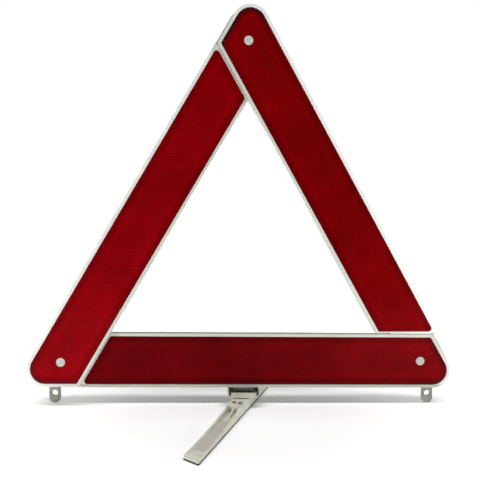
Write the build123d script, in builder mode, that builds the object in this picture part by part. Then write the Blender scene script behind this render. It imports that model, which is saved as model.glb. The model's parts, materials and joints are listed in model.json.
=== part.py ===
from build123d import *
from math import asin, cos, degrees, hypot, radians, sin, sqrt
import os

# Folding warning triangle. Three reflector arms lie in layers, from back to front: the base
# arm, the left arm and the right arm. +Z is up, +Y points away from oncoming traffic, and the
# origin lies on the ground, straight under the pivot of the foot.

# ---- the triangle ----
pivot_spacing = 363.0     # centre to centre of two corner pivots
arm_width = 55.0
arm_depth = 7.6
end_inset = 3.1           # an arm's end lies this much nearer the pivot than its edges
end_rounding = 9.9        # its corner radius is this much less than half the width
tongue_inset = 1.2        # the same two for the end of the arm underneath
tongue_rounding = 7.7
edge_radius = 1.5
open_gap = 3.6            # between the right arm's free end and the base arm, in front view
free_end_radius = 4.0
layer_gap = 0.4           # air between two arms that pass over each other

# ---- one arm's frame ----
rim_width = 3.1
end_wall = 1.7
lens_reveal = 0.9         # rim that shows between a lens and the arm in front of it
lens_recess = 1.2
lens_thickness = 2.0
lens_clearance = 0.15
ledge_width = 1.6
air_space = 0.5
floor_thickness = 1.5
back_wall = 2.4
rib_thickness = 1.6
rib_pitch = 38.0
tongue_plate = 2.0
boss_radius = 8.0

# ---- corner rivets ----
shaft_radius = 2.5
head_radius = 4.4
head_height = 1.1
cap_radius = 5.5
cap_thickness = 1.5
washer_radius = 7.0
running_fit = 0.075
seat_fit = 0.1            # radial room in a hole that does not turn on its pin
axial_play = 0.3          # air between two bodies that turn against each other

# ---- ground tabs ----
tab_spacing = 383.0
tab_width = 11.5
tab_thickness = 2.2
tab_hole_radius = 2.9
tab_hole_height = 10.2
peg_radius = 1.6

# ---- foot and its bracket ----
foot_half_length = 122.5
foot_width = 15.2
foot_turn = 21.6          # how far the foot stands short of square to the triangle
sole_thickness = 1.5
foot_height = 10.2
tip_height = 3.4
tip_radius = 1.0
tip_slant = 4.5           # one side of the foot reaches this much further than the other
tip_sweep = 0.6           # how far the top's curve rises halfway to the tip
shoulder_drop = 3.6       # how far it falls just beyond the hub
shoulder_reach = 13.75    # from the hub's end to that fall
hub_half_length = 27.5
foot_wall = 1.7
foot_floor = 1.5
step_inset = 13.5         # from the end of the foot to the step in its floor
step_height = 0.5
gusset_end = 46.0
pocket_place = 18.2       # from the pivot to the middle of the hub's small pockets
pocket_length = 7.0
pocket_width = 4.9
foot_gap = 1.0
bracket_height = 5.0
bracket_half_width = 16.3
bracket_reach = 8.4       # from the foot's pivot to the front of the bracket
bracket_wall = 1.8
bracket_floor = 1.6
bracket_plate = 2.0
pin_radius = 2.5
pin_head_radius = 4.5
pin_head_height = 1.4
retainer_radius = 5.0
retainer_thickness = 1.6
spring_washer_thickness = 0.5
swing_clearance = 2.4     # between the bracket and the right arm's end as it swings past
screw_radius = 1.5
screw_head_radius = 3.2
screw_head_height = 1.8
screw_spacing = 20.0

# ---- corner catch ----
catch_plate = 2.4
catch_rise = 14.0

# ---- places that follow from the sizes ----
half_width = arm_width / 2
corner_reach = half_width - end_inset
corner_radius = half_width - end_rounding
tongue_reach = half_width - tongue_inset
tongue_radius = half_width - tongue_rounding
triangle_height = pivot_spacing * sqrt(3) / 2
slant_cos = cos(radians(30))
pocket_depth = lens_recess + lens_thickness
floor_top = pocket_depth + air_space
floor_back = floor_top + floor_thickness
tongue_back = lens_recess + tongue_plate
pivot_bore = shaft_radius + running_fit
seat_bore = shaft_radius + seat_fit

stack_depth = 3 * arm_depth + 2 * layer_gap
base_front = stack_depth / 2 - arm_depth
base_back = base_front + arm_depth
left_front = base_front - layer_gap - arm_depth

# The right arm leans back towards its free end, so it rolls a little when it lies on the left
# arm. The gap at the top pivot leaves room for that roll.
free_end_drop = base_front - layer_gap - left_front
roll_share = half_width / triangle_height
top_gap = (layer_gap + roll_share * free_end_drop) / (1 - roll_share)
right_back = left_front - top_gap
lean = asin((free_end_drop + top_gap) / triangle_height)


def front_line(distance, across):
    """Place along an arm of a line that many mm beyond its front pivot."""
    return -(distance + across / 2) / slant_cos


def rear_line(distance, across):
    """Place along an arm of a line that many mm beyond its rear pivot."""
    return pivot_spacing + (distance + across / 2) / slant_cos


free_end = -(half_width + open_gap)
free_corner_along = rear_line(free_end - free_end_radius, half_width - free_end_radius)
free_corner_across = half_width - free_end_radius
swing_reach = hypot(free_corner_along, free_corner_across) + free_end_radius

foot_top = foot_height
bracket_bottom = foot_top + foot_gap
bracket_top = bracket_bottom + bracket_height
pivot_height = bracket_top + swing_clearance + swing_reach - triangle_height
base_edge = pivot_height - half_width
top_height = pivot_height + triangle_height

# ---- planes: x runs along an arm from its front pivot, y outwards, z towards the viewer ----
along_up = Vector(cos(radians(60)), 0, sin(radians(60)))
lean_across = Vector(
    slant_cos * cos(lean),
    sin(lean),
    -0.5 * cos(lean),
)
right_along = along_up * -0.5 + lean_across * slant_cos
right_facing = Vector(slant_cos * sin(lean), -cos(lean), -0.5 * sin(lean))
base_plane = Plane(
    origin=(pivot_spacing / 2, base_front, pivot_height),
    x_dir=(-1, 0, 0),
    z_dir=(0, -1, 0),
)
left_plane = Plane(
    origin=(-pivot_spacing / 2, left_front, pivot_height),
    x_dir=along_up,
    z_dir=(0, -1, 0),
)
right_back_plane = Plane(
    origin=(0, right_back, top_height),
    x_dir=right_along,
    z_dir=right_facing,
)
right_plane = right_back_plane.offset(arm_depth)
catch_frame = Plane(
    origin=(0, base_back, top_height),
    x_dir=(0.5, 0, -slant_cos),
    z_dir=(0, -1, 0),
)


def arm_points(front, rear, outer, inner):
    """Corners of an arm between two slanted ends, starting at the outer front one."""
    return [
        (front_line(front, outer), outer),
        (rear_line(rear, outer), outer),
        (rear_line(rear, inner), inner),
        (front_line(front, inner), inner),
    ]


def band_points(start, end, outer, inner):
    """Corners of a band across an arm, between two lines along the next arm's direction."""
    return [
        (rear_line(start, outer), outer),
        (rear_line(end, outer), outer),
        (rear_line(end, inner), inner),
        (rear_line(start, inner), inner),
    ]


def rounded_face(points, radii):
    """Fill the outline through the points, with one corner radius for each point."""
    with BuildLine() as outline:
        FilletPolyline(*points, radius=radii, close=True)
    make_face(outline.edges())


def lens_outline(rear, shrink):
    """The lens, or with a negative shrink the pocket that it lies in."""
    side = half_width - rim_width - shrink
    points = arm_points(corner_reach - rim_width - shrink, rear - shrink, side, -side)
    small = 2 * edge_radius - shrink
    rounded_face(points, [corner_radius - rim_width - shrink, small, small, small])


def rib_lattice(start, end):
    """Zigzag ribs on the back of an arm, from side to side."""
    count = int((end - start) / rib_pitch)
    step = (end - start) / count
    slope = degrees(asin(arm_width / hypot(arm_width, step)))
    for index in range(count):
        side = 1 if index % 2 else -1
        length = hypot(arm_width, step)
        with Locations((start + (index + 0.5) * step, 0)):
            Rectangle(length, rib_thickness, rotation=side * slope, mode=Mode.SUBTRACT)


def arm(plane, lens_rear, with_tongue):
    """One arm: rim, lens pocket, ribbed back and the tongue under the next arm."""
    tray_end = lens_rear + end_wall
    if with_tongue:
        rear, rear_radius = tongue_reach, tongue_radius
    else:
        rear, rear_radius = tray_end, free_end_radius
    inside = half_width - back_wall
    with BuildPart() as shell:
        with BuildSketch(plane):
            radii = [corner_radius, rear_radius, edge_radius, edge_radius]
            rounded_face(arm_points(corner_reach, rear, half_width, -half_width), radii)
        extrude(amount=-arm_depth)
        with BuildSketch(plane):
            lens_outline(lens_rear, -lens_clearance)
        extrude(amount=-pocket_depth, mode=Mode.SUBTRACT)
        # Hollow behind the lens, which rests on a ledge and on the pivot's boss.
        with BuildSketch(plane.offset(-pocket_depth)):
            lens_outline(lens_rear, ledge_width - lens_clearance)
            Circle(boss_radius, mode=Mode.SUBTRACT)
        extrude(amount=-air_space, mode=Mode.SUBTRACT)
        # Open back with its lattice of ribs.
        with BuildSketch(plane.offset(-floor_back)):
            points = arm_points(corner_reach - back_wall, tray_end - back_wall, inside, -inside)
            small = edge_radius
            rounded_face(points, [corner_radius - back_wall, small, small, small])
            rib_lattice(2 * boss_radius, rear_line(tray_end, 0) - boss_radius)
            Circle(boss_radius, mode=Mode.SUBTRACT)
        extrude(amount=floor_back - arm_depth, mode=Mode.SUBTRACT)
        if with_tongue:
            # Tongue: lower in front than the rim, hollow behind, with a boss for the pivot.
            beyond = tongue_reach + tongue_radius
            with BuildSketch(plane):
                rounded_face(band_points(tray_end, beyond, arm_width, -arm_width), [0] * 4)
            extrude(amount=-lens_recess, mode=Mode.SUBTRACT)
            with BuildSketch(plane.offset(-tongue_back)):
                points = band_points(tray_end, tongue_reach - back_wall, inside, -inside)
                rounded_face(points, [small, tongue_radius - back_wall, small, small])
                with Locations((pivot_spacing, 0)):
                    Circle(boss_radius, mode=Mode.SUBTRACT)
            extrude(amount=tongue_back - arm_depth, mode=Mode.SUBTRACT)
            with BuildSketch(plane.offset(-arm_depth)):
                with Locations((pivot_spacing, 0)):
                    Circle(boss_radius)
            extrude(amount=cap_thickness + 2 * axial_play, mode=Mode.SUBTRACT)
    return shell.part


def reflector(plane, lens_rear):
    """Moulded red lens with the hole for its corner rivet."""
    with BuildPart() as lens:
        with BuildSketch(plane.offset(-lens_recess)):
            lens_outline(lens_rear, 0)
            Circle(shaft_radius + 2 * seat_fit, mode=Mode.SUBTRACT)
        extrude(amount=-lens_thickness)
    return lens


def rivet(plane, length):
    """Domed head on the lens, with a plain shaft through the arms behind it."""
    with BuildPart() as stud:
        with BuildSketch(plane.offset(-lens_recess)):
            Circle(head_radius)
        extrude(amount=head_height)
        fillet(stud.faces().sort_by(Axis.Y)[0].edges(), head_height / 2)
        with BuildSketch(plane.offset(-lens_recess)):
            Circle(shaft_radius)
        extrude(amount=lens_recess - length)
    return stud


def ring(plane, outer, inner, thickness):
    """Flat ring that reaches from the plane backwards."""
    with BuildPart() as disc:
        with BuildSketch(plane):
            Circle(outer)
            Circle(inner, mode=Mode.SUBTRACT)
        extrude(amount=-thickness)
    return disc


def cap(plane):
    """Snap cap on the end of a rivet, dished where the rivet's end shows."""
    with BuildPart() as button:
        with BuildSketch(plane):
            Circle(cap_radius)
            Circle(shaft_radius, mode=Mode.SUBTRACT)
        extrude(amount=-cap_thickness)
        chamfer(button.faces().sort_by(Axis.Y)[-1].edges().sort_by(SortBy.RADIUS)[-1], 0.5)
    return button


closed_lens_rear = -(half_width + lens_reveal)
open_lens_rear = free_end - end_wall
top_pivot = right_back_plane
left_pivot = left_plane.offset(-arm_depth)

# ---- frames ----
base_arm = arm(base_plane, closed_lens_rear, True)
left_arm = arm(left_plane, closed_lens_rear, True)
right_arm = arm(right_plane, open_lens_rear, False)

with BuildPart() as left_frame:
    add(left_arm)
    with BuildSketch(left_plane):
        Circle(seat_bore)
    extrude(amount=-arm_depth, mode=Mode.SUBTRACT)
    with BuildSketch(top_pivot):
        Circle(pivot_bore)
    extrude(amount=-2 * arm_depth, mode=Mode.SUBTRACT)

with BuildPart() as right_frame:
    add(right_arm)
    with BuildSketch(right_plane):
        Circle(seat_bore)
    extrude(amount=-arm_depth, mode=Mode.SUBTRACT)

tab_places = [(-tab_spacing / 2, "left_ground_tab"), (tab_spacing / 2, "right_ground_tab")]
tab_top = pivot_height - boss_radius - 2.0
peg_height = tab_top - 5.0
screw_height = base_edge + 12.0
screw_places = [(-screw_spacing / 2, screw_height), (screw_spacing / 2, screw_height)]
rear_view = Plane(origin=(0, base_back, 0), x_dir=(1, 0, 0), z_dir=(0, -1, 0))

with BuildPart() as base_frame:
    add(base_arm)
    with BuildSketch(base_plane):
        Circle(seat_bore)
        with Locations((pivot_spacing, 0)):
            Circle(pivot_bore)
    extrude(amount=-arm_depth, mode=Mode.SUBTRACT)
    # Notches for the ground tabs, with a peg that each tab is pressed onto.
    notch_height = tab_top - base_edge + edge_radius
    with BuildSketch(rear_view):
        for tab_x, tab_name in tab_places:
            with Locations((tab_x, base_edge - edge_radius + notch_height / 2)):
                Rectangle(tab_width + 2 * seat_fit, notch_height + 2 * seat_fit)
    extrude(amount=arm_depth - floor_back, mode=Mode.SUBTRACT)
    with BuildSketch(rear_view.offset(arm_depth - floor_back)):
        for tab_x, tab_name in tab_places:
            with Locations((tab_x, peg_height)):
                Circle(peg_radius)
    extrude(amount=-tab_thickness)
    # Floor behind the tab on the tongue, where the arm is hollow further forward.
    with BuildSketch(rear_view.offset(arm_depth - floor_back)):
        with Locations((-tab_spacing / 2, (tab_top + base_edge) / 2 + edge_radius)):
            Rectangle(tab_width + 2 * back_wall, tab_top - base_edge - back_wall)
    extrude(amount=floor_back - tongue_back)
    # Bosses that take the bracket's two screws.
    with BuildSketch(rear_view):
        with Locations(*screw_places):
            Circle(screw_head_radius + 1.2)
    extrude(amount=arm_depth - floor_back)
    with BuildSketch(rear_view):
        with Locations(*screw_places):
            Circle(screw_radius)
    extrude(amount=arm_depth - floor_top, mode=Mode.SUBTRACT)

# ---- lenses ----
base_reflector = reflector(base_plane, closed_lens_rear)
left_reflector = reflector(left_plane, closed_lens_rear)
right_reflector = reflector(right_plane, open_lens_rear)

# ---- rivets, washers and caps at the two pivots that turn ----
hinge_cap_depth = arm_depth - cap_thickness - axial_play
left_pivot_rivet = rivet(left_plane, arm_depth + layer_gap + arm_depth - axial_play)
left_washer_room = layer_gap + lens_recess
left_pivot_washer = ring(left_pivot, washer_radius, seat_bore, left_washer_room - axial_play)
left_pivot_cap = cap(left_pivot.offset(-layer_gap - hinge_cap_depth))

tilt_play = axial_play + washer_radius * sin(lean)
top_pivot_rivet = rivet(right_plane, arm_depth + top_gap + arm_depth - axial_play)
top_washer_room = top_gap + lens_recess
top_pivot_washer = ring(top_pivot, washer_radius, seat_bore, top_washer_room - tilt_play)
top_pivot_cap = cap(top_pivot.offset(-top_gap - hinge_cap_depth))

# ---- snap stud and catch at the corner that opens ----
catch_depth = arm_depth + layer_gap / 2 + catch_plate
corner_snap_stud = rivet(base_plane, catch_depth + cap_thickness)
corner_snap_cap = cap(base_plane.offset(-catch_depth))

with BuildPart() as corner_catch:
    catch_back = catch_frame.offset(-layer_gap / 2 - catch_plate)
    top_end = -(half_width + catch_rise)
    with BuildSketch(catch_back):
        points = band_points(top_end, tongue_reach, half_width, -half_width / 2)
        rounded_face(points, [edge_radius, tongue_radius, 4 * edge_radius, edge_radius])
        with Locations((pivot_spacing, 0)):
            Circle(seat_bore, mode=Mode.SUBTRACT)
    extrude(amount=catch_plate)
    # Block above the base arm that the right arm's free end lies in front of.
    block_points = band_points(top_end, -(half_width + layer_gap), half_width, -half_width / 2)
    with BuildSketch(catch_back):
        rounded_face(block_points, [edge_radius] * 4)
    extrude(amount=catch_plate + layer_gap / 2 + arm_depth)
    inner_points = band_points(
        top_end + back_wall,
        -(half_width + layer_gap + back_wall),
        half_width - back_wall,
        back_wall - half_width / 2,
    )
    with BuildSketch(catch_back):
        rounded_face(inner_points, [0] * 4)
    extrude(amount=catch_plate + arm_depth - back_wall, mode=Mode.SUBTRACT)

# ---- ground tabs ----
ground_tabs = {}
for tab_x, tab_name in tab_places:
    with BuildPart() as ground_tab:
        with BuildSketch(rear_view.offset(arm_depth - floor_back)):
            with BuildLine():
                shoulder = tab_width / 2 + 0.6
                Line((tab_x - tab_width / 2, shoulder), (tab_x - tab_width / 2, tab_top))
                Line((tab_x - tab_width / 2, tab_top), (tab_x + tab_width / 2, tab_top))
                Line((tab_x + tab_width / 2, tab_top), (tab_x + tab_width / 2, shoulder))
                Bezier(
                    (tab_x + tab_width / 2, shoulder),
                    (tab_x + tab_width / 2, 1.2),
                    (tab_x + 2.2, 0),
                    (tab_x, 0),
                )
                Bezier(
                    (tab_x, 0),
                    (tab_x - 2.2, 0),
                    (tab_x - tab_width / 2, 1.2),
                    (tab_x - tab_width / 2, shoulder),
                )
            make_face()
            with Locations((tab_x, tab_hole_height)):
                Circle(tab_hole_radius, mode=Mode.SUBTRACT)
            with Locations((tab_x, peg_height)):
                Circle(peg_radius + seat_fit, mode=Mode.SUBTRACT)
        extrude(amount=-tab_thickness)
    ground_tabs[tab_name] = ground_tab

# ---- bracket under the base arm ----
plate_top = screw_height + 7.0
with BuildPart() as foot_bracket:
    with BuildSketch(Plane.XY.offset(bracket_bottom)):
        bracket_depth = bracket_reach + base_back + bracket_plate
        with Locations((0, bracket_depth / 2 - bracket_reach)):
            Rectangle(2 * bracket_half_width, bracket_depth)
        front_corners = vertices().group_by(Axis.Y)[0]
        chamfer(front_corners, 3 * bracket_wall)
    extrude(amount=bracket_height)
    # Plate behind the base arm for the two screws.
    with BuildSketch(Plane.XY.offset(bracket_top)):
        with Locations((0, base_back + bracket_plate / 2)):
            Rectangle(2 * bracket_half_width, bracket_plate)
    extrude(amount=plate_top - bracket_top)
    # Saddle of four ribs that carries the lower edge of the base arm.
    post_x = 0.7 * bracket_half_width
    side_x = bracket_half_width - bracket_wall / 2
    rib_y = (base_front + base_back) / 2
    rib_places = [(x, rib_y) for x in (-side_x, -post_x, post_x, side_x)]
    with BuildSketch(Plane.XY.offset(bracket_top)):
        with Locations(*rib_places):
            Rectangle(bracket_wall, arm_depth)
    extrude(amount=base_edge - bracket_top)
    # Deep pocket behind the front wall, open under the base arm, with a rib at each end.
    pocket_front = -bracket_reach + bracket_wall
    with BuildSketch(Plane.XY.offset(bracket_top)):
        with Locations((0, (pocket_front + base_back) / 2)):
            Rectangle(2 * (bracket_half_width - bracket_wall), base_back - pocket_front)
        with Locations((-bracket_half_width, pocket_front), (bracket_half_width, pocket_front)):
            Rectangle(8 * bracket_wall, 8 * bracket_wall, rotation=45, mode=Mode.SUBTRACT)
        with Locations((-post_x, 0), (post_x, 0)):
            Rectangle(bracket_wall, 4 * bracket_reach, mode=Mode.SUBTRACT)
    extrude(amount=bracket_floor - bracket_height, mode=Mode.SUBTRACT)
    with BuildSketch(Plane.XY.offset(bracket_bottom)):
        Circle(pin_radius + seat_fit)
    extrude(amount=bracket_height, mode=Mode.SUBTRACT)
    with BuildSketch(rear_view.offset(-bracket_plate)):
        with Locations(*screw_places):
            Circle(screw_radius + seat_fit)
    extrude(amount=bracket_plate, mode=Mode.SUBTRACT)

with BuildPart() as bracket_screws:
    with BuildSketch(rear_view.offset(-bracket_plate)):
        with Locations(*screw_places):
            Circle(screw_head_radius)
    extrude(amount=-screw_head_height)
    fillet(faces().group_by(Axis.Y)[-1].edges(), screw_head_height / 3)
    with BuildSketch(rear_view.offset(-bracket_plate - screw_head_height)):
        for slot_turn in (0, 90):
            with Locations(*screw_places):
                Rectangle(screw_head_radius, 0.8, rotation=slot_turn)
    extrude(amount=screw_head_height / 2, mode=Mode.SUBTRACT)
    with BuildSketch(rear_view.offset(-bracket_plate)):
        with Locations(*screw_places):
            Circle(screw_radius)
    extrude(amount=bracket_plate + arm_depth - floor_back)

# ---- foot: a two-ended channel that turns under the bracket ----
foot_direction = Vector(-sin(radians(foot_turn)), -cos(radians(foot_turn)), 0)
foot_across = Vector(0, 0, 1).cross(foot_direction)
foot_plan = Plane(origin=(0, 0, 0), x_dir=foot_direction, z_dir=(0, 0, 1))
foot_side = Plane(origin=(0, 0, 0), x_dir=foot_direction, z_dir=-foot_across)
floor_level = sole_thickness + foot_floor
hub_recess = sole_thickness + retainer_thickness + 3 * axial_play


def foot_outline(shrink):
    """Plan of the foot, whose two ends are cut on a slant."""
    side = foot_width / 2 - shrink
    slant = tip_slant / 2 * side / (foot_width / 2)
    reach = foot_half_length - shrink
    points = [
        (reach + slant, side),
        (reach - slant, -side),
        (-reach - slant, -side),
        (-reach + slant, side),
    ]
    rounded_face(points, [tip_radius] * 4)


with BuildPart() as foot_bar:
    # Side view: level over the hub, then falling in a curve to each tip.
    with BuildSketch(foot_side):
        with BuildLine():
            Polyline(
                (-foot_half_length, tip_height),
                (-foot_half_length - tip_slant, tip_height),
                (-foot_half_length - tip_slant, sole_thickness),
                (foot_half_length + tip_slant, sole_thickness),
                (foot_half_length + tip_slant, tip_height),
                (foot_half_length, tip_height),
            )
            for end in (1, -1):
                Bezier(
                    (end * foot_half_length, tip_height),
                    (end * foot_half_length / 2, tip_height + tip_sweep),
                    (end * (hub_half_length + shoulder_reach), foot_top - shoulder_drop),
                    (end * hub_half_length, foot_top),
                )
            Line((-hub_half_length, foot_top), (hub_half_length, foot_top))
        make_face()
    extrude(amount=foot_width / 2, both=True)
    with BuildSketch(foot_plan):
        foot_outline(0)
    extrude(amount=foot_height, mode=Mode.INTERSECT)
    # Channel on each side of the hub, with a rib that runs out along its middle.
    channel_start = hub_half_length
    with BuildSketch(foot_plan.offset(floor_level)):
        foot_outline(foot_wall)
        Rectangle(2 * channel_start, foot_width, mode=Mode.SUBTRACT)
    extrude(amount=foot_height, mode=Mode.SUBTRACT)
    with BuildSketch(foot_side):
        for end in (1, -1):
            with BuildLine():
                Polyline(
                    (end * channel_start - end * foot_wall / 2, floor_level - foot_floor / 2),
                    (end * channel_start - end * foot_wall / 2, foot_top - foot_wall),
                    (end * gusset_end, floor_level),
                    (end * gusset_end, floor_level - foot_floor / 2),
                    close=True,
                )
            make_face()
    extrude(amount=foot_wall / 2, both=True)
    # Raised step in the floor near each tip.
    with BuildSketch(foot_plan.offset(floor_level - foot_floor / 2)):
        foot_outline(foot_wall / 2)
        Rectangle(2 * (foot_half_length - step_inset), foot_width, mode=Mode.SUBTRACT)
    extrude(amount=foot_floor / 2 + step_height)
    # Two open pockets in each end of the hub.
    with BuildSketch(foot_plan.offset(floor_level)):
        with GridLocations(2 * pocket_place, pocket_width + foot_wall, 2, 2):
            Rectangle(pocket_length, pocket_width)
    extrude(amount=foot_height, mode=Mode.SUBTRACT)
    with BuildSketch(foot_plan):
        Circle(pin_radius + running_fit)
    extrude(amount=foot_height, mode=Mode.SUBTRACT)
    with BuildSketch(foot_plan):
        Circle(retainer_radius + 3 * axial_play)
    extrude(amount=hub_recess, mode=Mode.SUBTRACT)

with BuildPart() as foot_sole:
    with BuildSketch(foot_plan):
        foot_outline(0)
    extrude(amount=sole_thickness)

# ---- pivot pin of the foot ----
pin_top = bracket_bottom + bracket_floor + pin_head_height
retainer_base = hub_recess - axial_play - retainer_thickness
with BuildPart() as foot_pin:
    with BuildSketch(Plane.XY.offset(pin_top - pin_head_height)):
        Circle(pin_head_radius)
    extrude(amount=pin_head_height)
    fillet(faces().sort_by(Axis.Z)[-1].edges(), pin_head_height / 3)
    with BuildSketch(Plane.XY.offset(retainer_base)):
        Circle(pin_radius)
    extrude(amount=pin_top - pin_head_height - retainer_base)

with BuildPart() as foot_pin_retainer:
    with BuildSketch(Plane.XY.offset(retainer_base)):
        Circle(retainer_radius)
        Circle(pin_radius, mode=Mode.SUBTRACT)
    extrude(amount=retainer_thickness)

with BuildPart() as foot_washer:
    with BuildSketch(Plane.XY.offset(bracket_bottom - spring_washer_thickness)):
        Circle(foot_width / 2 - axial_play)
        Circle(pin_radius + seat_fit, mode=Mode.SUBTRACT)
    extrude(amount=spring_washer_thickness)

# ---- write one file for each piece ----
pieces = {
    "base_frame": base_frame,
    "left_frame": left_frame,
    "right_frame": right_frame,
    "base_reflector": base_reflector,
    "left_reflector": left_reflector,
    "right_reflector": right_reflector,
    "left_pivot_rivet": left_pivot_rivet,
    "left_pivot_washer": left_pivot_washer,
    "left_pivot_cap": left_pivot_cap,
    "top_pivot_rivet": top_pivot_rivet,
    "top_pivot_washer": top_pivot_washer,
    "top_pivot_cap": top_pivot_cap,
    "corner_snap_stud": corner_snap_stud,
    "corner_snap_cap": corner_snap_cap,
    "corner_catch": corner_catch,
    "foot_bracket": foot_bracket,
    "bracket_screws": bracket_screws,
    "foot_bar": foot_bar,
    "foot_sole": foot_sole,
    "foot_pin": foot_pin,
    "foot_pin_retainer": foot_pin_retainer,
    "foot_washer": foot_washer,
    **ground_tabs,
}
os.makedirs("parts", exist_ok=True)
for name, piece in pieces.items():
    piece.part.label = name
    export_step(piece.part, f"parts/{name}.step")
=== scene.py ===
import json
from math import cos, pi, radians, sin, sqrt

import bmesh
import bpy
from mathutils import Matrix, Vector
from mathutils.bvhtree import BVHTree

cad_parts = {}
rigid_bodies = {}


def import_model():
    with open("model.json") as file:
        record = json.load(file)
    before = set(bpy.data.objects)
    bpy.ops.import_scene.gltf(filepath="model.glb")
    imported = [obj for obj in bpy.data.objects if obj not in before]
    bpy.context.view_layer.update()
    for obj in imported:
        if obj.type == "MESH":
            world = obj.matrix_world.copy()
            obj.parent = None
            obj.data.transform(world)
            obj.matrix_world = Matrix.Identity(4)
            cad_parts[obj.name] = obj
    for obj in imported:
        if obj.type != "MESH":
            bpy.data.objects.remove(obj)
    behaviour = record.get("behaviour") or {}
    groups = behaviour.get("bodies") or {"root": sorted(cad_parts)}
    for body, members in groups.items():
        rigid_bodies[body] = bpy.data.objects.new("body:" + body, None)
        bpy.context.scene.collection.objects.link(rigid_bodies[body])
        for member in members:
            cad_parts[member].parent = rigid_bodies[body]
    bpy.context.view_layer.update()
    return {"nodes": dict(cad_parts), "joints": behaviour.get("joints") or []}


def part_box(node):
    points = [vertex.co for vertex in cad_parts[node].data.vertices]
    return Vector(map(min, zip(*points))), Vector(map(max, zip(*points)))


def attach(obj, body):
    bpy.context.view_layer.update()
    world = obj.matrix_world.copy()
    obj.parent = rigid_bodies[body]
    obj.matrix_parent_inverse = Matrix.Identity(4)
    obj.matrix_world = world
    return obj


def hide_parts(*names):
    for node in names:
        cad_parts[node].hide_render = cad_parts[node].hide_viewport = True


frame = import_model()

# ---- Arm frames ----
# Three long trays of white high-impact polystyrene, injection moulded. Each holds a lens in
# front, has a lattice of ribs behind, and ends in a thin tongue under the next arm.
MM = 0.001
mould_edge = 0.3 * MM     # the mould's own rounding along every edge
sharp_angle = 32          # degrees between two faces from which their edge is rounded
inner_grey = 0.5          # how far the inner rims are coloured darker and greener
low_edge_shade_start, low_edge_shade_end, low_edge_shade_strength = 23.5, 25.0, 0.75    # painted shade along the base's lower edge, in mm out


def srgb(code):
    """An sRGB hex colour as the linear colour that a node socket takes."""
    parts = [int(code[i:i + 2], 16) / 255 for i in (0, 2, 4)]
    return [c / 12.92 if c <= 0.04045 else ((c + 0.055) / 1.055) ** 2.4 for c in parts] + [1.0]


def add_node(tree, kind, inputs=None, **settings):
    """Adds one node. Inputs go by name or in order: a socket is linked, a node is linked by the
    first of its outputs that is in use, and any other value is set."""
    made = tree.nodes.new(kind)
    for name, value in settings.items():
        setattr(made, name, value)
    for name, value in inputs.items() if isinstance(inputs, dict) else enumerate(inputs or ()):
        if isinstance(value, bpy.types.Node):
            value = next(output for output in value.outputs if output.enabled)
        if isinstance(value, bpy.types.NodeSocket):
            tree.links.new(value, made.inputs[name])
        else:
            made.inputs[name].default_value = value
    return made


def start_material(name):
    """An empty node material and its tree."""
    material = bpy.data.materials.new(name)
    material.use_nodes = True
    material.node_tree.nodes.clear()
    return material, material.node_tree


def moulded_plastic(name, light, dark, roughness, grain, blotch, dirt=0.0, speck=0.0):
    """Moulded plastic: grain is the size of the skin's pebbles and blotch of its clouds, in mm.
    The eye gets soft clouds of tone, a satin gloss that varies with them and a faint pebbling."""
    material, tree = start_material(name)
    place = add_node(tree, "ShaderNodeTexCoord").outputs["Object"]
    clouds = add_node(tree, "ShaderNodeTexNoise", {
        "Vector": place, "Scale": 1 / (blotch * MM), "Detail": 3.0, "Roughness": 0.55,
    })
    skin = add_node(tree, "ShaderNodeTexNoise", {
        "Vector": place, "Scale": 1 / (grain * MM), "Detail": 2.0, "Roughness": 0.6,
    })
    tone = add_node(tree, "ShaderNodeValToRGB", {"Fac": clouds.outputs["Fac"]})
    tone.color_ramp.elements[0].position = 0.35
    tone.color_ramp.elements[1].position = 0.65
    tone.color_ramp.elements[0].color = srgb(dark)
    tone.color_ramp.elements[1].color = srgb(light)
    colour = tone.outputs["Color"]
    if speck:
        spots = add_node(tree, "ShaderNodeMapRange", {
            "Value": skin.outputs["Fac"], "From Min": 0.42, "From Max": 0.62,
            "To Min": 1.0 - speck, "To Max": 1.0 + speck,
        })
        colour = add_node(tree, "ShaderNodeVectorMath", {
            0: colour, "Scale": spots.outputs["Result"],
        }, operation="SCALE").outputs["Vector"]
    if dirt:
        film = add_node(tree, "ShaderNodeTexNoise", {
            "Vector": place, "Scale": 3 / (blotch * MM), "Detail": 6.0, "Roughness": 0.7,
        })
        amount = add_node(tree, "ShaderNodeMapRange", {
            "Value": film.outputs["Fac"], "From Min": 0.5, "From Max": 0.8,
            "To Min": 0.0, "To Max": dirt,
        })
        colour = add_node(tree, "ShaderNodeMix", {
            0: amount, 6: colour, 7: srgb("8A8676"),
        }, data_type="RGBA")
    gloss = add_node(tree, "ShaderNodeMapRange", {
        "Value": clouds.outputs["Fac"], "From Min": 0.3, "From Max": 0.7,
        "To Min": roughness - 0.06, "To Max": roughness + 0.06,
    })
    relief = add_node(tree, "ShaderNodeBump", {
        "Height": skin.outputs["Fac"], "Strength": 0.25, "Distance": 0.02 * MM,
    })
    surface = add_node(tree, "ShaderNodeBsdfPrincipled", {
        "Base Color": colour, "Roughness": gloss.outputs["Result"], "IOR": 1.5,
        "Specular IOR Level": 0.4, "Normal": relief.outputs["Normal"],
    })
    add_node(tree, "ShaderNodeOutputMaterial", {"Surface": surface.outputs["BSDF"]})
    return material


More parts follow.
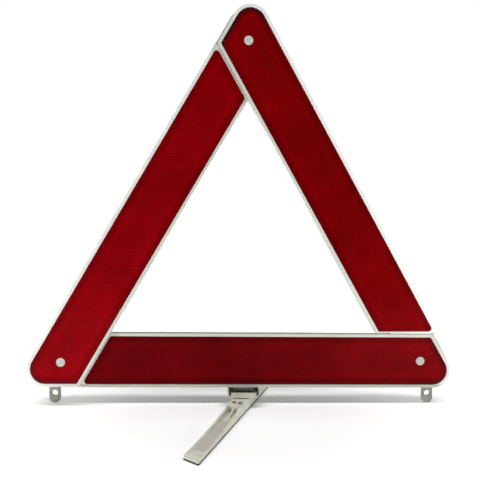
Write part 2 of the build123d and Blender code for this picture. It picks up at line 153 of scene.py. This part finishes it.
def softened(node, name, edge, material, body, segments=2):
    """A copy of a CAD node with its mould-rounded edges, which stands for the node."""
    mesh = frame["nodes"][node].data.copy()
    shell = bmesh.new()
    shell.from_mesh(mesh)
    bmesh.ops.remove_doubles(shell, verts=shell.verts, dist=1e-6)
    bmesh.ops.dissolve_limit(
        shell, angle_limit=radians(1.0), verts=shell.verts, edges=shell.edges,
    )
    shell.to_mesh(mesh)
    shell.free()
    raw = bpy.data.objects.new(name + "_raw", mesh)
    bpy.context.scene.collection.objects.link(raw)
    bevel = raw.modifiers.new("edges", "BEVEL")
    bevel.width = edge
    bevel.segments = segments
    bevel.limit_method = "ANGLE"
    bevel.angle_limit = radians(sharp_angle)
    bevel.use_clamp_overlap = True
    weighted = raw.modifiers.new("even_faces", "WEIGHTED_NORMAL")
    weighted.weight = 100
    weighted.keep_sharp = True
    for polygon in mesh.polygons:
        polygon.use_smooth = True
    bpy.context.view_layer.update()
    baked = raw.evaluated_get(bpy.context.evaluated_depsgraph_get())
    finished = bpy.data.meshes.new_from_object(baked)
    bpy.data.objects.remove(raw)
    finished.materials.clear()
    finished.materials.append(material)
    piece = bpy.data.objects.new(name, finished)
    bpy.context.scene.collection.objects.link(piece)
    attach(piece, body)
    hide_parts(node)
    return piece


def arm_axes(side):
    """Origin and directions of an arm's own axes: along it, outwards, and towards the viewer."""
    joints = {joint["name"]: joint for joint in frame["joints"]}
    left = Vector(joints["left_fold"]["pos_m"])
    top = Vector(joints["right_fold"]["pos_m"])
    low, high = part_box("corner_snap_stud")
    right = (low + high) / 2
    start, end, facing = {
        "base": (right, left, Vector((0, -1, 0))),
        "left": (left, top, Vector((0, -1, 0))),
        "right": (top, right, -Vector(joints["right_fold"]["axis"])),
    }[side]
    along = end - start
    along = (along - along.dot(facing) * facing).normalized()
    return start, along, facing.cross(along), facing


def arm_place(tree, side):
    """Places in an arm's own axes, in mm from its corner: along it, outwards and to the front."""
    start, along, out, facing = arm_axes(side)
    turn = Matrix((along, out, facing))
    return add_node(tree, "ShaderNodeMapping", {
        "Vector": add_node(tree, "ShaderNodeTexCoord").outputs["Object"],
        "Location": -(turn @ start) / MM, "Rotation": turn.to_euler(),
        "Scale": (1 / MM, 1 / MM, 1 / MM),
    }).outputs["Vector"]


# Painted light: all three trays are one white polystyrene, but the right arm's is set lighter,
# standing in for the light that falls on it.
tray_lit_tones = {
    "base": ("E4E4DF", "D8D7D0"), "left": ("E4E4DF", "D8D7D0"), "right": ("F1F1EE", "E8E8E4"),
}


def white_polystyrene(side):
    """White polystyrene, darker and greener along the inner rim and with painted shade along the
    base's lower edge, so that the eye gets a slightly uneven white and not a spotless one."""
    material = moulded_plastic(
        f"white_polystyrene_moulded_{side}", *tray_lit_tones[side], 0.42, 1.2, 28.0, dirt=0.07,
    )
    tree = material.node_tree
    surface = next(node for node in tree.nodes if node.type == "BSDF_PRINCIPLED")
    aged = surface.inputs["Base Color"].links[0].from_socket
    across = add_node(tree, "ShaderNodeSeparateXYZ", {"Vector": arm_place(tree, side)})
    # The inner rims are coloured darker and greener than the rest of the tray.
    layers = [(12.0, -20.0, inner_grey, "A9AD98")]
    if side == "base":
        # Painted shade: the base's lower edge is coloured darker, standing in for the shade along
        # it.
        layers.append((low_edge_shade_start, low_edge_shade_end, low_edge_shade_strength, "94958A"))
    for first, last, most, tone in layers:
        amount = add_node(tree, "ShaderNodeMapRange", {
            "Value": across.outputs["Y"], "From Min": first, "From Max": last, "To Max": most,
        })
        aged = add_node(tree, "ShaderNodeMix", {0: amount, 6: aged, 7: srgb(tone)},
                        data_type="RGBA").outputs[2]
    tree.links.new(aged, surface.inputs["Base Color"])
    return material


arms = {"base": "base_arm", "left": "left_arm", "right": "right_arm"}
for side, body in arms.items():
    softened(
        f"{side}_frame", f"{side}_tray", mould_edge, white_polystyrene(side), body,
    )

# ---- Ejector marks ----
# The pins that push a moulding out of its mould leave round marks of the same plastic, a little
# proud. A row of them runs along the back of each tray, to one side and the other in turn.
mark_radius = 2.4 * MM
mark_height = 0.25 * MM
mark_spacing = 38.0 * MM
mark_swing = 8.0 * MM     # how far a mark stands to one side of its row
marks_per_arm = 8
search_from = 50.0 * MM   # clear of the moulding, where the search for its floor begins


def ejector_marks():
    """Node tree: a row of round marks, to one side of its line and then to the other."""
    tree = bpy.data.node_groups.new("ejector_marks", "GeometryNodeTree")
    for name, kind in (
        ("Count", "NodeSocketInt"), ("First", "NodeSocketVector"), ("Step", "NodeSocketVector"),
        ("Sideways", "NodeSocketVector"), ("Facing", "NodeSocketVector"),
        ("Radius", "NodeSocketFloat"), ("Height", "NodeSocketFloat"),
        ("Material", "NodeSocketMaterial"),
    ):
        tree.interface.new_socket(name, in_out="INPUT", socket_type=kind)
    tree.interface.new_socket("Geometry", in_out="OUTPUT", socket_type="NodeSocketGeometry")
    sizes = tree.nodes.new("NodeGroupInput").outputs
    line = add_node(tree, "GeometryNodeMeshLine", {
        "Count": sizes["Count"], "Start Location": sizes["First"], "Offset": sizes["Step"],
    })
    turn_by_turn = add_node(tree, "ShaderNodeMath", {
        0: add_node(tree, "GeometryNodeInputIndex").outputs["Index"], 1: 2.0,
    }, operation="MODULO")
    swing = add_node(tree, "ShaderNodeMath", {
        0: turn_by_turn.outputs["Value"], 1: 2.0, 2: -1.0,
    }, operation="MULTIPLY_ADD")
    offset = add_node(tree, "ShaderNodeVectorMath", {
        0: sizes["Sideways"], "Scale": swing.outputs["Value"],
    }, operation="SCALE")
    placed = add_node(tree, "GeometryNodeSetPosition", {
        "Geometry": line.outputs["Mesh"], "Offset": offset.outputs["Vector"],
    })
    disc = add_node(tree, "GeometryNodeMeshCylinder", {
        "Vertices": 20, "Radius": sizes["Radius"], "Depth": sizes["Height"],
    })
    upright = add_node(tree, "FunctionNodeAlignRotationToVector", {"Vector": sizes["Facing"]},
                       axis="Z")
    marks = add_node(tree, "GeometryNodeInstanceOnPoints", {
        "Points": placed.outputs["Geometry"], "Instance": disc.outputs["Mesh"],
        "Rotation": upright.outputs["Rotation"],
    })
    solid = add_node(tree, "GeometryNodeRealizeInstances", {
        "Geometry": marks.outputs["Instances"],
    })
    coated = add_node(tree, "GeometryNodeSetMaterial", {
        "Geometry": solid.outputs["Geometry"], "Material": sizes["Material"],
    })
    add_node(tree, "NodeGroupOutput", {"Geometry": coated.outputs["Geometry"]})
    return tree


def surface_under(node, place, way):
    """Where a straight line from a place first meets a CAD node."""
    mesh = frame["nodes"][node].data
    skin = BVHTree.FromPolygons([v.co for v in mesh.vertices],
                                [polygon.vertices for polygon in mesh.polygons])
    return skin.ray_cast(place, way)[0]


def mark_row(name, body, material, count, first, step, sideways, facing, radius):
    """One row of ejector marks as a plain mesh on its body."""
    piece = bpy.data.objects.new(name, bpy.data.meshes.new(name))
    bpy.context.scene.collection.objects.link(piece)
    modifier = piece.modifiers.new("marks", "NODES")
    modifier.node_group = marks_tree
    values = {"Count": count, "First": first, "Step": step, "Sideways": sideways,
              "Facing": facing, "Radius": radius, "Height": mark_height, "Material": material}
    for item in marks_tree.interface.items_tree:
        if item.name in values:
            modifier[item.identifier] = values[item.name]
    bpy.context.view_layer.update()
    baked = piece.evaluated_get(bpy.context.evaluated_depsgraph_get())
    piece.data = bpy.data.meshes.new_from_object(baked)
    piece.modifiers.clear()
    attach(piece, body)


marks_tree = ejector_marks()
for side, body in arms.items():
    start, along, out, facing = arm_axes(side)
    from_corner = 3 * mark_spacing / 2
    behind_arm = start + along * from_corner - facing * search_from
    floor_place = surface_under(f"{side}_frame", behind_arm, facing)
    mark_row(
        f"{side}_ejector_marks", body,
        bpy.data.objects[f"{side}_tray"].active_material, marks_per_arm, floor_place,
        along * mark_spacing, out * mark_swing, -facing, mark_radius,
    )

# ---- Lenses ----
# Retroreflective lenses of clear red acrylic, smooth in front. Corner-cube prisms are moulded
# into the back in a hexagonal grid, and a plain border is welded to the tray's ledge.
prism_pitch = 4.0         # mm from one group of prisms to the next
border = 5.5              # mm of plain border along each edge
border_fade = 1.6         # mm over which the prisms begin
hub_plain, hub_full = 5.0, 7.5    # mm from a rivet's middle: plain up to, full prisms from
lens_edge = 0.35 * MM
lens_lit_tones = {            # painted light and shade: each arm's red, and each stretch of it, set lighter or darker as the light falls there; from the pivot corner, over the middle, to the free end
    "base": ("71040A", "5B0206", "640107"),
    "left": ("84020A", "7A0108", "800006"),
    "right": ("760104", "6C0003", "7B0106"),
}
lens_glint_points = {"base": 0.05, "left": 0.05, "right": 0.22}    # how bright the painted glints at the prism points are
lens_row_sheen = {"base": 0.03, "left": 0.08, "right": 0.04}      # how strong the painted sheen along the prism rows is
lens_shade = {"base": 0.35, "left": 0.35, "right": 0.95}     # the rim's shade at the corner
rim_levels = (            # share of the way in from the rim, and the light within the lens there
    (0.0, 0.32), (0.10, 0.44), (0.26, 0.40), (0.36, 0.36), (0.52, 0.55), (0.75, 0.54), (1.0, 0.5),
)
NUMBER, VECTOR = "ShaderNodeMath", "ShaderNodeVectorMath"


def acrylic_lens(side):
    """Red acrylic with the prism grid, the plain border and cloudy depth of one arm's lens. The
    eye gets a deep red, with painted glints at the prism points near the corner and a faint
    painted sheen along the rows down the arm."""
    material, tree = start_material(f"red_acrylic_{side}")
    start, along, out, _ = arm_axes(side)
    flat = add_node(tree, VECTOR, (arm_place(tree, side), (1, 1, 0)), operation="MULTIPLY")

    # Nearest centre of the hexagonal grid, from two offset square grids.
    cell = (prism_pitch, prism_pitch * sqrt(3), 1.0)
    steps = add_node(tree, VECTOR, (flat, cell), operation="DIVIDE")
    offsets, lengths = [], []
    for shift in (0.0, 0.5):
        moved = add_node(tree, VECTOR, (steps, (shift, shift, 0.0)), operation="ADD")
        part = add_node(tree, VECTOR, (moved,), operation="FRACTION")
        centred = add_node(tree, VECTOR, (part, (0.5, 0.5, 0.0)), operation="SUBTRACT")
        offsets.append(add_node(tree, VECTOR, (centred, cell), operation="MULTIPLY"))
        lengths.append(add_node(tree, VECTOR, (offsets[-1],), operation="LENGTH"))
    nearer = add_node(tree, NUMBER, lengths, operation="GREATER_THAN")
    inside = add_node(tree, "ShaderNodeMix", {0: nearer, 4: offsets[0], 5: offsets[1]},
                      data_type="VECTOR")

    # Three faces of a cube corner: the highest of three tilted planes.
    planes = [
        add_node(tree, VECTOR, (inside, (cos(radians(turn)), sin(radians(turn)), 0.0)),
                 operation="DOT_PRODUCT")
        for turn in (90, 210, 330)
    ]
    cube = add_node(tree, NUMBER, planes[:2], operation="MAXIMUM")
    cube = add_node(tree, NUMBER, (cube, planes[2]), operation="MAXIMUM")

    # Each group of prisms returns a little more or less light than the next.
    centre = add_node(tree, VECTOR, (flat, inside), operation="SUBTRACT")
    nudged = add_node(tree, VECTOR, (centre, (0.2, 0.2, 0.0)), operation="ADD")
    group = add_node(tree, VECTOR, (nudged, (0.5, 0.5, 1.0)), operation="SNAP")
    luck = add_node(tree, "ShaderNodeTexWhiteNoise", {"Vector": group}, noise_dimensions="2D")
    clouds = add_node(tree, "ShaderNodeTexNoise", {
        "Vector": flat, "Scale": 1 / 45.0, "Detail": 2.5, "Roughness": 0.5,
    })

    # Distance in from the nearest edge of the lens.
    verts = [v.co - start for v in frame["nodes"][f"{side}_reflector"].data.vertices]
    ways = {a: (cos(radians(a)), sin(radians(a)), 0.0) for a in (90, -90, 210, 30, 150)}
    reach = {
        a: max(v.dot(along * x + out * y) for v in verts) / MM for a, (x, y, _) in ways.items()
    }
    inset = None
    for angle in (90, -90, 210, 30):
        reached = add_node(tree, VECTOR, (flat, ways[angle]), operation="DOT_PRODUCT")
        edge = add_node(tree, NUMBER, (reach[angle], reached), operation="SUBTRACT")
        inset = edge if inset is None else add_node(
            tree, NUMBER, (inset, edge, 2.0), operation="SMOOTH_MIN",
        )
    # The corner by the rivet is an arc about its own centre.
    corner_radius = reach[90] + reach[210] - reach[150]
    centre_out = reach[90] - corner_radius
    centre_along = -(reach[210] - corner_radius + centre_out / 2) / cos(radians(30))
    from_centre = add_node(tree, VECTOR, (flat, (centre_along, centre_out, 0.0)),
                           operation="SUBTRACT")
    how_far = add_node(tree, VECTOR, (from_centre,), operation="LENGTH")
    towards = add_node(tree, VECTOR, (from_centre, ways[150]), operation="DOT_PRODUCT")
    half_far = add_node(tree, NUMBER, (how_far, 0.5), operation="MULTIPLY")
    in_corner = add_node(tree, NUMBER, (towards, half_far), operation="GREATER_THAN")
    rounded = add_node(tree, NUMBER, (corner_radius, how_far), operation="SUBTRACT")
    change = add_node(tree, NUMBER, (rounded, inset), operation="SUBTRACT")
    inset = add_node(tree, NUMBER, (in_corner, change, inset), operation="MULTIPLY_ADD")
    band = add_node(tree, "ShaderNodeMapRange", {
        "Value": inset, "From Min": border - border_fade, "From Max": border,
    }, interpolation_type="SMOOTHSTEP")
    hub = add_node(tree, VECTOR, (flat,), operation="LENGTH")
    ring = add_node(tree, "ShaderNodeMapRange", {
        "Value": hub, "From Min": hub_plain, "From Max": hub_full,
    }, interpolation_type="SMOOTHSTEP")
    field = add_node(tree, NUMBER, (band, ring), operation="MULTIPLY")

    # Painted light and shade within the lens, from its rim inwards: painted shade of the recess
    # along the rim, the plain border, the first prisms.
    share = add_node(tree, NUMBER, (inset, 2.4 * border), operation="DIVIDE")
    rim_shade_ramp = add_node(tree, "ShaderNodeValToRGB", {"Fac": share})
    rim_shade_ramp.color_ramp.interpolation = "B_SPLINE"
    for position, _ in rim_levels[1:-1]:
        rim_shade_ramp.color_ramp.elements.new(position)
    for stop, (position, level) in zip(rim_shade_ramp.color_ramp.elements, rim_levels):
        stop.position = position
        stop.color = (level, level, level, 1.0)

    x_along = add_node(tree, VECTOR, (flat, (1.0, 0.0, 0.0)), operation="DOT_PRODUCT")
    reach_along = max(v.dot(along) for v in verts) / MM
    share = add_node(tree, NUMBER, (x_along, reach_along), operation="DIVIDE")
    # Painted light and shade down the arm: the lit tones from the corner to the free end.
    down_arm = add_node(tree, "ShaderNodeValToRGB", {"Fac": share})
    down_arm.color_ramp.elements.new(0.5)
    for stop, tone in zip(down_arm.color_ramp.elements, lens_lit_tones[side]):
        stop.color = srgb(tone)

    # Painted light: the prisms get bright glinting points near the corner and, elsewhere, a faint
    # sheen along their rows.
    nearest = add_node(tree, NUMBER, lengths, operation="MINIMUM")
    points = add_node(tree, "ShaderNodeMapRange", {
        "Value": nearest, "From Min": 0.5, "From Max": 2.0, "To Min": 1.0, "To Max": -0.5,
    })
    seen_near = add_node(tree, "ShaderNodeMapRange", {
        "Value": hub, "From Min": 18.0, "From Max": 75.0,
        "To Min": lens_glint_points[side], "To Max": 0.05,
    }, interpolation_type="SMOOTHSTEP")
    row_way = (0.0, 1.0, 0.0) if side == "base" else (sin(radians(60)), cos(radians(60)), 0.0)
    across = add_node(tree, VECTOR, (flat, row_way), operation="DOT_PRODUCT")
    phase = add_node(tree, NUMBER, (across, 2 * pi / (prism_pitch * sqrt(3) / 2)),
                     operation="MULTIPLY")
    rows = add_node(tree, NUMBER, (phase,), operation="SINE")
    beyond_corner = add_node(tree, "ShaderNodeMapRange", {
        "Value": x_along, "From Min": 60.0, "From Max": 170.0,
        "To Min": 0.15 * lens_row_sheen[side], "To Max": lens_row_sheen[side],
    }, interpolation_type="SMOOTHSTEP")
    cloudy = add_node(tree, NUMBER, (clouds, 0.5), operation="SUBTRACT")
    points = add_node(tree, NUMBER, (points, field), operation="MULTIPLY")
    rows = add_node(tree, NUMBER, (rows, field), operation="MULTIPLY")
    gain = 0.93
    for pattern, strength in (
        (luck, 0.14), (cloudy, 0.8), (points, seen_near), (rows, beyond_corner),
    ):
        gain = add_node(tree, NUMBER, (pattern, strength, gain), operation="MULTIPLY_ADD")
    rim_light = add_node(tree, NUMBER, (rim_shade_ramp, 2.0), operation="MULTIPLY")
    gain = add_node(tree, NUMBER, (gain, rim_light), operation="MULTIPLY")
    lit = add_node(tree, VECTOR, {0: down_arm, "Scale": gain}, operation="SCALE")

    # The rim's own shade falls on the plain border around the rounded corner.
    near_rim = add_node(tree, "ShaderNodeMapRange", {
        "Value": inset, "From Min": 4.5, "From Max": 0.4,
    }, interpolation_type="SMOOTHSTEP")
    near_corner = add_node(tree, "ShaderNodeMapRange", {
        "Value": x_along, "From Min": 2.0, "From Max": -14.0, "To Max": lens_shade[side],
    }, interpolation_type="SMOOTHSTEP")
    shade = add_node(tree, NUMBER, (near_rim, near_corner), operation="MULTIPLY")
    colour = add_node(tree, "ShaderNodeMix", {0: shade, 6: lit, 7: srgb("16121A")},
                      data_type="RGBA")
    height = add_node(tree, NUMBER, (cube, field), operation="MULTIPLY")
    relief = add_node(tree, "ShaderNodeBump", {
        "Height": height, "Strength": 0.30, "Distance": 0.35 * MM,
    })
    surface = add_node(tree, "ShaderNodeBsdfPrincipled", {
        "Base Color": colour, "Roughness": 0.30, "IOR": 1.49, "Specular IOR Level": 0.01,
        "Normal": relief, "Coat Weight": 0.02, "Coat Roughness": 0.1, "Coat IOR": 1.49,
    })
    add_node(tree, "ShaderNodeOutputMaterial", {"Surface": surface})
    return material


for side, body in arms.items():
    softened(
        f"{side}_reflector", f"{side}_lens", lens_edge, acrylic_lens(side), body,
    )

# ---- Corner rivets, caps and washers ----
# Snap rivets of pale grey acetal with a low domed head that sits in the lens recess. The cap
# behind snaps onto the rivet's end; a slip washer keeps the arms from rubbing.
rivet_edge = 0.7 * MM     # the heads are rounded well over, so that nothing catches on them
acetal = moulded_plastic("pale_acetal_moulded", "B4B5AA", "A6A79B", 0.34, 0.8, 5.0)
for node in ("left_pivot_rivet", "top_pivot_rivet", "corner_snap_stud",
             "left_pivot_cap", "top_pivot_cap", "corner_snap_cap"):
    body = {"l": "left_arm", "t": "right_arm", "c": "base_arm"}[node[0]]
    softened(node, node + "_moulded", rivet_edge, acetal, body, segments=5)
for node in ("left_pivot_washer", "top_pivot_washer"):
    frame["nodes"][node].data.materials.clear()
    frame["nodes"][node].data.materials.append(acetal)

# ---- Ground tabs, catch and bracket ----
# Polypropylene mouldings: a grey-green tab with a hole under each corner, and the beige bracket
# that carries the foot. The catch at the corner that opens is the base tray's own polystyrene.
grey_polypropylene = moulded_plastic(
    "grey_polypropylene_moulded", "858A7E", "71766B", 0.48, 0.7, 6.0, speck=0.16,
)
bracket_polypropylene = moulded_plastic(
    "beige_polypropylene_bracket", "AFB0A2", "A1A294", 0.45, 0.6, 12.0, dirt=0.2,
)
pocket_low, pocket_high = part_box("foot_bracket")
pocket_wall = 1.2 * MM    # the bracket's end walls, which the painted shade leaves clear
pocket_bar = 1.5 * MM     # its front bar, which the painted shade leaves clear
pocket_floor = 1.3 * MM   # the height at which the painted shade begins
pocket_fade = 0.3 * MM


def shade_painted_inside(material, tone, turned, half_length, half_width, lowest, fade, clear=-1.0):
    """Painted shade on what lies inside an upright box about the foot's axis, but for a clear
    middle.
    The eye gets a darker, duller floor with a soft edge, standing in for the shade in a recess."""
    tree = material.node_tree
    surface = next(node for node in tree.nodes if node.type == "BSDF_PRINCIPLED")
    unshaded_colour = surface.inputs["Base Color"].links[0].from_socket
    local = add_node(tree, "ShaderNodeMapping", {
        "Vector": add_node(tree, "ShaderNodeTexCoord").outputs["Object"],
        "Rotation": (0.0, 0.0, -radians(turned)),
    })
    axes = add_node(tree, "ShaderNodeSeparateXYZ", {"Vector": local})
    length, width = (
        add_node(tree, "ShaderNodeMath", (axes.outputs[axis],), operation="ABSOLUTE")
        for axis in "XY"
    )
    amount = None
    for value, nothing, full in (
        (length, half_length, half_length - fade), (length, clear, clear + 3 * fade),
        (width, half_width, half_width - fade), (axes.outputs["Z"], lowest, lowest + fade),
    ):
        within = add_node(tree, "ShaderNodeMapRange", {
            "Value": value, "From Min": nothing, "From Max": full,
        })
        amount = within if amount is None else add_node(
            tree, "ShaderNodeMath", (amount, within), operation="MULTIPLY",
        )
    shade_painted_colour = add_node(tree, "ShaderNodeMix", {0: amount, 6: unshaded_colour, 7: srgb(tone)},
                      data_type="RGBA")
    tree.links.new(shade_painted_colour.outputs[2], surface.inputs["Base Color"])


# Painted shade: the inside of the bracket's pocket is coloured near black, standing in for the
# shade under the base arm.
shade_painted_inside(
    bracket_polypropylene, "20211B", 0.0, pocket_high.x - pocket_wall,
    -pocket_low.y - pocket_bar, pocket_low.z + pocket_floor, pocket_fade,
)
for node, material in (
    ("left_ground_tab", grey_polypropylene), ("right_ground_tab", grey_polypropylene),
    ("corner_catch", bpy.data.objects["base_tray"].active_material),
    ("foot_bracket", bracket_polypropylene),
):
    softened(node, node + "_moulded", mould_edge, material, "base_arm")

# ---- Foot ----
# A long two-ended channel of beige polypropylene that turns under the bracket, with a black
# rubber strip glued along its underside; the strip's black also stands in for the dark shadow line
# along the foot's lower edge, and so is partly painted shadow.
foot_polypropylene = moulded_plastic(
    "beige_polypropylene_foot", "C8C8BC", "BBBBAE", 0.46, 0.6, 9.0, dirt=0.25,
)
foot_turn = 21.6          # degrees that the foot stands off square when the triangle is up
shaded_floor_length = 109.5 * MM    # from the pivot to the end of the channel floor's painted shade
shaded_half_width = 5.4 * MM       # half of the channel's width
unshaded_middle = 46.0 * MM      # from the pivot to where the painted shade begins
shade_fade = 0.5 * MM
sole_edge = 0.25 * MM
foot_marks, foot_mark_place, foot_mark_spacing = 3, 68.0 * MM, 16.0 * MM
foot_mark_swing, foot_mark_radius = 1.0 * MM, 1.5 * MM
# Painted shade: the channel's floor is coloured darker, standing in for the shade between its
# walls.
shade_painted_inside(
    foot_polypropylene, "B0AEA4", 90 - foot_turn, shaded_floor_length, shaded_half_width, 0.0, shade_fade,
    unshaded_middle,
)
black_as_shadow_rubber = moulded_plastic("black_rubber_as_shadow_line", "1E1D1C", "141414", 0.7, 0.25, 5.0)
softened("foot_bar", "foot_bar_moulded", mould_edge, foot_polypropylene, "foot")
toe = Vector((-sin(radians(foot_turn)), -cos(radians(foot_turn)), 0.0))
up = Vector((0, 0, 1))
for end, way in (("front", toe), ("rear", -toe)):
    first = surface_under("foot_bar", way * foot_mark_place + up * search_from, -up)
    mark_row(
        f"foot_{end}_ejector_marks", "foot", foot_polypropylene, foot_marks,
        first, way * foot_mark_spacing, toe.cross(up) * foot_mark_swing, up, foot_mark_radius,
    )
# Partly painted shadow: the black strip stands in for the dark shadow line under the foot.
softened("foot_sole", "foot_sole_shadow_strip", sole_edge, black_as_shadow_rubber, "foot")

# ---- Metal fasteners ----
# Zinc-plated steel: the foot's pivot pin, its washer and retainer, and the bracket's screws.
# Its grey is painted dark, standing in for the shade of the bracket's pocket, so that the eye gets
# a dark grey metal with faint blotches.


def zinc_plate():
    """Zinc plating on steel, its grey painted dark as shade: blotches of tone and gloss about 1.5
    mm wide.
    """
    material, tree = start_material("steel_zinc_plated_shade_dark")
    place = add_node(tree, "ShaderNodeTexCoord").outputs["Object"]
    blotches = add_node(tree, "ShaderNodeTexNoise", {
        "Vector": place, "Scale": 1 / (1.5 * MM), "Detail": 4.0, "Roughness": 0.6,
    })
    colour = add_node(tree, "ShaderNodeMix", {
        0: blotches, 6: srgb("4A4C4E"), 7: srgb("6E7173"),
    }, data_type="RGBA")
    rough = add_node(tree, "ShaderNodeMapRange", {
        "Value": blotches.outputs["Fac"], "To Min": 0.22, "To Max": 0.42,
    })
    relief = add_node(tree, "ShaderNodeBump", {
        "Height": blotches.outputs["Fac"], "Strength": 0.2, "Distance": 0.01 * MM,
    })
    surface = add_node(tree, "ShaderNodeBsdfPrincipled", {
        "Base Color": colour, "Metallic": 1.0, "Roughness": rough.outputs["Result"],
        "Normal": relief.outputs["Normal"],
    })
    add_node(tree, "ShaderNodeOutputMaterial", {"Surface": surface.outputs["BSDF"]})
    return material


zinc = zinc_plate()
# Painted shade: the fasteners take the darkened plating, to match the shaded pocket they sit in.
for node in ("foot_pin", "foot_pin_retainer", "foot_washer", "bracket_screws"):
    frame["nodes"][node].data.materials.clear()
    frame["nodes"][node].data.materials.append(zinc)

# ---- Studio ----
# A white floor that brightens outwards, a narrow key light and a weak rear lamp overhead, a low
# fill behind, two front softboxes and an even pale surround. The overhead lamps reach only the
# floor, the foot, the rivets and the stud, and the fill behind reaches only the object.
floor_reach = 0.5         # m from the middle to the edge of the floor
glow_start, glow_end, glow_most = 0.07, 0.35, 0.6    # m from the middle, and the emission there


def floor_plane():
    """The plain floor that the triangle stands on."""
    mesh = bpy.data.meshes.new("studio_floor")
    reach = floor_reach
    mesh.from_pydata(
        [(-reach, -reach, 0), (reach, -reach, 0), (reach, reach, 0), (-reach, reach, 0)],
        [], [(0, 1, 2, 3)],
    )
    material, tree = start_material("studio_floor_white")
    away = add_node(tree, "ShaderNodeVectorMath", {
        0: add_node(tree, "ShaderNodeTexCoord").outputs["Object"],
    }, operation="LENGTH")
    lift = add_node(tree, "ShaderNodeMapRange", {
        "Value": away.outputs["Value"], "From Min": glow_start, "From Max": glow_end,
        "To Max": glow_most,
    }, interpolation_type="SMOOTHSTEP")
    surface = add_node(tree, "ShaderNodeBsdfPrincipled", {
        "Base Color": srgb("F8F8F8"), "Roughness": 0.9, "Specular IOR Level": 0.1,
        "Emission Color": srgb("FFFFFF"), "Emission Strength": lift.outputs["Result"],
    })
    add_node(tree, "ShaderNodeOutputMaterial", {"Surface": surface.outputs["BSDF"]})
    mesh.materials.append(material)
    floor = bpy.data.objects.new("studio_floor", mesh)
    bpy.context.scene.collection.objects.link(floor)
    return floor


def softbox(name, place, target, size, power, receivers):
    """A rectangular soft light that faces a point. With no receivers it lights everything."""
    lamp = bpy.data.lights.new(name, "AREA")
    lamp.shape = "RECTANGLE"
    lamp.size, lamp.size_y = size
    lamp.energy = power
    holder = bpy.data.objects.new(name, lamp)
    aim = Vector(target) - Vector(place)
    holder.rotation_euler = aim.to_track_quat("-Z", "Y").to_euler()
    holder.location = place
    holder.light_linking.receiver_collection = receivers
    bpy.context.scene.collection.objects.link(holder)


floor = floor_plane()
from_above = bpy.data.collections.new("lit_from_above")
from_above.objects.link(floor)
everything_else = bpy.data.collections.new("lit_from_behind")
for piece in bpy.context.scene.objects:
    if piece.type != "MESH" or piece == floor:
        continue
    everything_else.objects.link(piece)
    if piece.name.startswith("foot_") or "rivet" in piece.name or "stud" in piece.name:
        from_above.objects.link(piece)
for name, place, target, size, power, receivers in (    # places and sizes in m, power in W
    ("key_softbox", (0.0, -0.34, 1.45), (0.0, 0.0, 0.0), (2.6, 0.2), 22.5, from_above),
    ("rear_softbox", (0.0, 0.55, 1.3), (0.0, 0.0, 0.0), (2.6, 0.5), 3.0, from_above),
    ("back_softbox", (0.3, 2.2, 0.1), (0.0, 0.0, 0.15), (2.2, 0.6), 24.0, everything_else),
    ("left_softbox", (-1.9, -1.9, 0.35), (0.0, 0.0, 0.2), (1.0, 0.8), 31.0, None),
    ("right_softbox", (1.9, -1.9, 0.35), (0.0, 0.0, 0.2), (1.0, 0.8), 25.0, None),
):
    softbox(name, place, target, size, power, receivers)

world = bpy.data.worlds.new("studio_surround")
world.use_nodes = True
bpy.context.scene.world = world
surround = world.node_tree
surround.nodes.clear()
seen = add_node(surround, "ShaderNodeLightPath").outputs["Is Camera Ray"]
strength = add_node(surround, "ShaderNodeMapRange", {"Value": seen, "To Min": 0.15, "To Max": 1.0})
glow = add_node(surround, "ShaderNodeBackground", {
    "Color": srgb("FFFFFF"), "Strength": strength.outputs["Result"],
})
add_node(surround, "ShaderNodeOutputWorld", {"Surface": glow.outputs["Background"]})
bpy.context.scene.view_settings.view_transform = "Standard"

# ---- Camera ----
# A normal lens half a metre in front, a little left of the foot and level with the middle.
lens_data = bpy.data.cameras.new("camera")
lens_data.lens = 36.0
lens_data.sensor_width = 36.0
camera = bpy.data.objects.new("camera", lens_data)
gaze = Vector((0.032, 0.9987, -0.039))
camera_roll = 0.012
camera.rotation_euler = (
    gaze.to_track_quat("-Z", "Y").to_matrix() @ Matrix.Rotation(camera_roll, 3, "Z")
).to_euler()
camera.location = (-0.0208, -0.4776, 0.1865)
bpy.context.scene.collection.objects.link(camera)
bpy.context.scene.camera = camera
